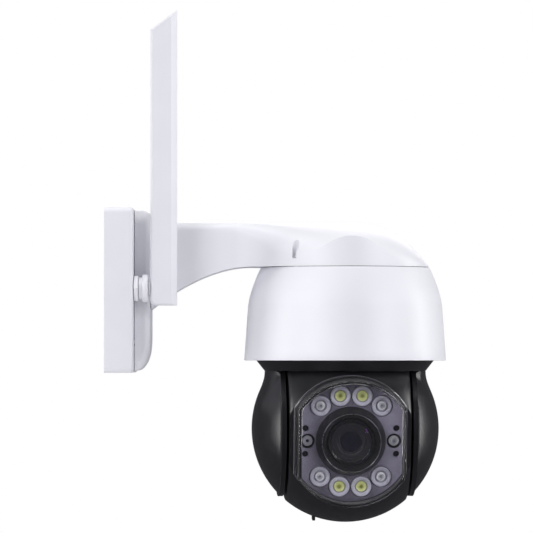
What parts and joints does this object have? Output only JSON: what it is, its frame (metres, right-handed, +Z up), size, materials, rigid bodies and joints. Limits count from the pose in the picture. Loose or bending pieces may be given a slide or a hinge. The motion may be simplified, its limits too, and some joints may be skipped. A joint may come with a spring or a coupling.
{
  "type": "security camera",
  "caption": "Wall-mounted pan-and-tilt security camera: arm and domed housing over a black ball with a lens and lamps behind a clear window, and a swinging blade antenna.",
  "frame": {"origin": "centre of the wall face of the base, at the wall", "axes": "+X out from the wall along the arm, +Z up, -Y the way the lens looks when the camera faces along the wall"},
  "size_m": [0.1934, 0.1157, 0.2889],
  "materials": {
    "white_abs": "satin moulded",
    "black_abs": "satin moulded",
    "grey_plate": "satin moulded",
    "clear_polycarbonate": "clear polished",
    "coated_glass": "polished, coated",
    "black_rubber": "matt",
    "steel": "zinc plated",
    "white_nylon": "moulded",
    "circuit_board": "solder mask",
    "battery_sleeve": "shrink sleeve",
    "motor_can": "plated can",
    "plated_cup": "satin plated",
    "phosphor_cup": "encapsulated"
  },
  "bodies": {
    "bracket": {"wall_plate": "steel", "wall_base": "white_abs", "base_cover": "white_abs", "arm_canopy": "white_abs", "arm_bottom_cover": "white_abs", "housing_bowl": "white_abs", "canopy_seal": "black_rubber", "canopy_screw_left": "steel", "canopy_screw_right": "steel", "bottom_plate": "white_abs", "battery_pack": "battery_sleeve", "charge_board": "circuit_board", "main_board": "circuit_board", "motor_deck": "white_nylon", "pan_motor": "motor_can", "pan_bearing": "steel", "power_inlet": "black_abs", "antenna_socket": "white_abs", "antenna_nut": "white_abs"},
    "pan_pinion": {"pan_pinion": "white_nylon"},
    "turret": {"turntable": "white_nylon", "hub_nut": "white_nylon", "pan_gear": "white_nylon", "skirt_ring": "black_abs", "yoke_plate_left": "black_abs", "yoke_plate_right": "black_abs", "yoke_cover_left": "black_abs", "yoke_cover_right": "black_abs", "tilt_axle_left": "white_nylon", "tilt_axle_right": "white_nylon", "tilt_gear": "white_nylon"},
    "tilt_pinion": {"tilt_pinion": "white_nylon"},
    "head": {"head_front_shell": "black_abs", "head_rear_shell": "black_abs", "head_seal": "black_rubber", "window": "clear_polycarbonate", "led_plate": "grey_plate", "led_board": "circuit_board", "ir_led_lens_1": "plated_cup", "ir_led_lens_2": "plated_cup", "ir_led_lens_3": "plated_cup", "ir_led_lens_4": "plated_cup", "white_led_lens_1": "phosphor_cup", "white_led_lens_2": "phosphor_cup", "white_led_lens_3": "phosphor_cup", "white_led_lens_4": "phosphor_cup", "lens_hood": "black_abs", "lens_barrel": "black_abs", "lens_glass": "coated_glass", "sensor_board": "circuit_board", "light_sensor": "phosphor_cup", "microphone": "black_abs", "tilt_motor": "motor_can", "io_board": "circuit_board"},
    "card_cover": {"card_cover": "black_rubber"},
    "reset_button": {"reset_button": "steel"},
    "antenna": {"antenna_front_shell": "white_abs", "antenna_back_shell": "white_abs", "antenna_element": "circuit_board", "antenna_shaft": "white_abs"}
  },
  "joints": [
    {"name": "pan", "type": "hinge", "parent": "bracket", "child": "turret", "pos_m": [0.1359, 0, 0], "axis": [0, 0, 1], "range_deg": [-91, 263]},
    {"name": "pan_pinion_spin", "type": "hinge", "parent": "bracket", "child": "pan_pinion", "pos_m": [0.11175, 0, 0], "axis": [0, 0, 1], "range_deg": [-1053, 365]},
    {"name": "tilt", "type": "hinge", "parent": "turret", "child": "head", "pos_m": [0.1359, 0, -0.07816], "axis": [0.9981, 0.061, 0], "range_deg": [0, 82]},
    {"name": "tilt_pinion_spin", "type": "hinge", "parent": "head", "child": "tilt_pinion", "pos_m": [0.13473, 0.01906, -0.07503], "axis": [0.9981, 0.061, 0], "range_deg": [0, 247]},
    {"name": "antenna_swing", "type": "hinge", "parent": "bracket", "child": "antenna", "pos_m": [0.0219, -0.0375, 0.0009], "axis": [1, 0, 0], "range_deg": [-10, 180]},
    {"name": "card_cover_pull", "type": "slide", "parent": "head", "child": "card_cover", "axis": [-0.0099, 0.1613, -0.9869], "range_m": [0, 0.012]},
    {"name": "reset_press", "type": "slide", "parent": "head", "child": "reset_button", "axis": [0.0099, -0.1613, 0.9869], "range_m": [0, 0.0008], "stiffness_N_per_m": 200, "springref_m": -0.0015}
  ],
  "couplings": [
    {"joint": "pan_pinion_spin", "follows": "pan", "ratio": -4},
    {"joint": "tilt_pinion_spin", "follows": "tilt", "ratio": 3}
  ]
}
